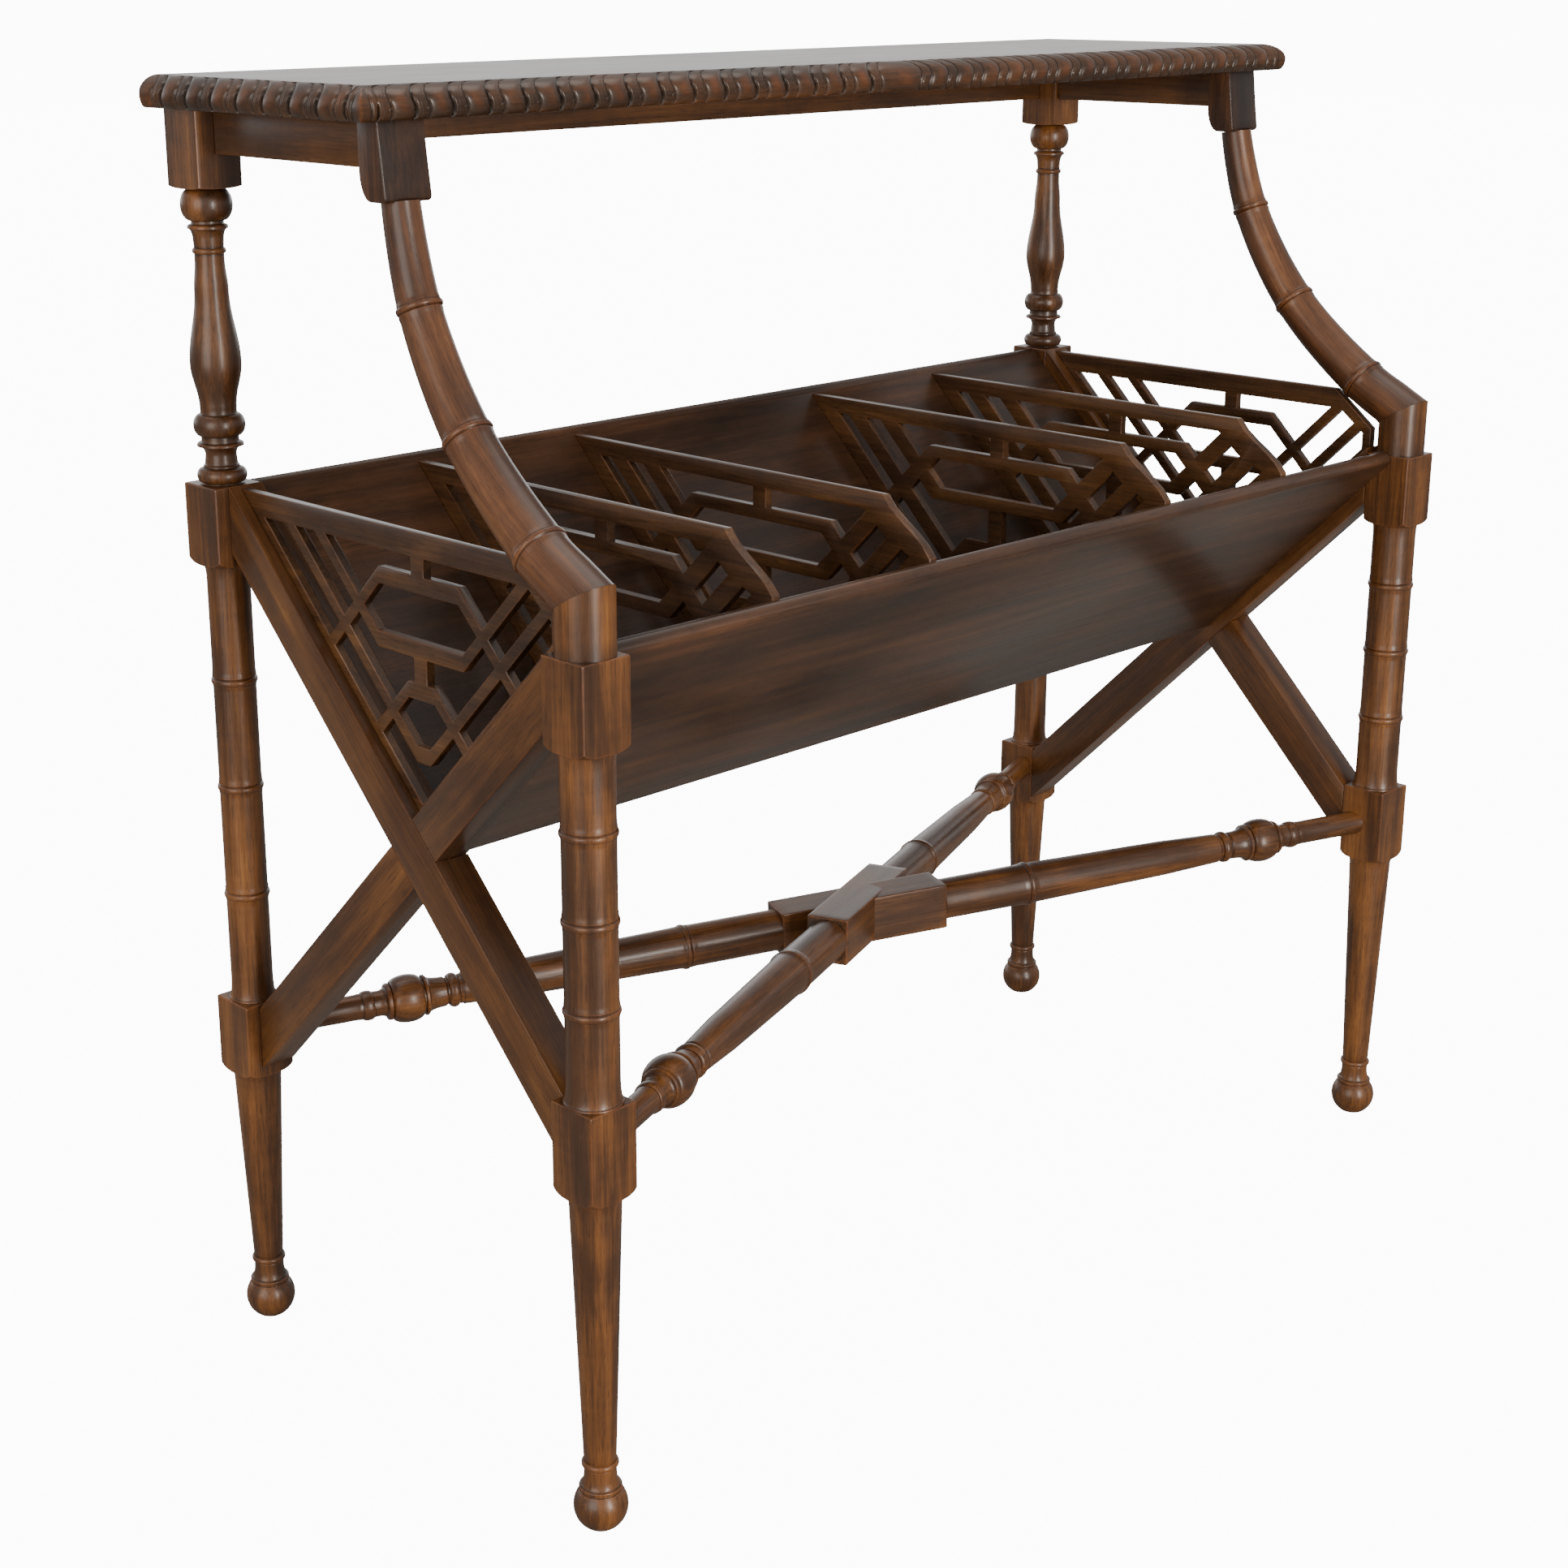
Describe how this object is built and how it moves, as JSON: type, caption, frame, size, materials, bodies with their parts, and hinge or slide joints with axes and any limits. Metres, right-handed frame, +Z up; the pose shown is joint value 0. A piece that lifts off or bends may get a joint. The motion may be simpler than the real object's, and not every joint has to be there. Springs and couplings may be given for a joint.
{
  "type": "book trough",
  "caption": "Narrow wooden table on turned bamboo legs with curved arms, a V-shaped trough between X-frames, fretwork ends and dividers, and turned cross stretchers.",
  "frame": {"origin": "on the floor, under the middle of the bounding box", "axes": "+X along the length, +Y to the rear where the straight back edge of the top is, +Z up"},
  "size_m": [0.954, 0.4162, 0.91],
  "materials": {
    "turned_wood": "stained dark brown, satin lacquer",
    "framed_wood": "stained mid brown, satin lacquer",
    "board_wood": "stained dark reddish brown, satin lacquer",
    "fret_wood": "stained mid brown, satin lacquer"
  },
  "bodies": {
    "root": {"table_top": "board_wood", "rear_rail": "framed_wood", "front_trough_board": "board_wood", "rear_trough_board": "board_wood", "left_front_post": "turned_wood", "left_rear_post": "turned_wood", "left_arm": "turned_wood", "left_elbow_dowel": "framed_wood", "left_end_rail": "framed_wood", "left_rear_rising_bar": "framed_wood", "left_front_rising_bar": "framed_wood", "left_end_panel": "fret_wood", "left_front_board_dowel_1": "framed_wood", "left_front_board_dowel_2": "framed_wood", "left_rear_board_dowel_1": "framed_wood", "left_rear_board_dowel_2": "framed_wood", "left_inner_divider": "fret_wood", "left_outer_divider": "fret_wood", "right_front_post": "turned_wood", "right_rear_post": "turned_wood", "right_arm": "turned_wood", "right_elbow_dowel": "framed_wood", "right_end_rail": "framed_wood", "right_rear_rising_bar": "framed_wood", "right_front_rising_bar": "framed_wood", "right_end_panel": "fret_wood", "right_front_board_dowel_1": "framed_wood", "right_front_board_dowel_2": "framed_wood", "right_rear_board_dowel_1": "framed_wood", "right_rear_board_dowel_2": "framed_wood", "right_inner_divider": "fret_wood", "right_outer_divider": "fret_wood", "left_front_stretcher": "turned_wood", "right_front_stretcher": "turned_wood"}
  },
  "joints": []
}
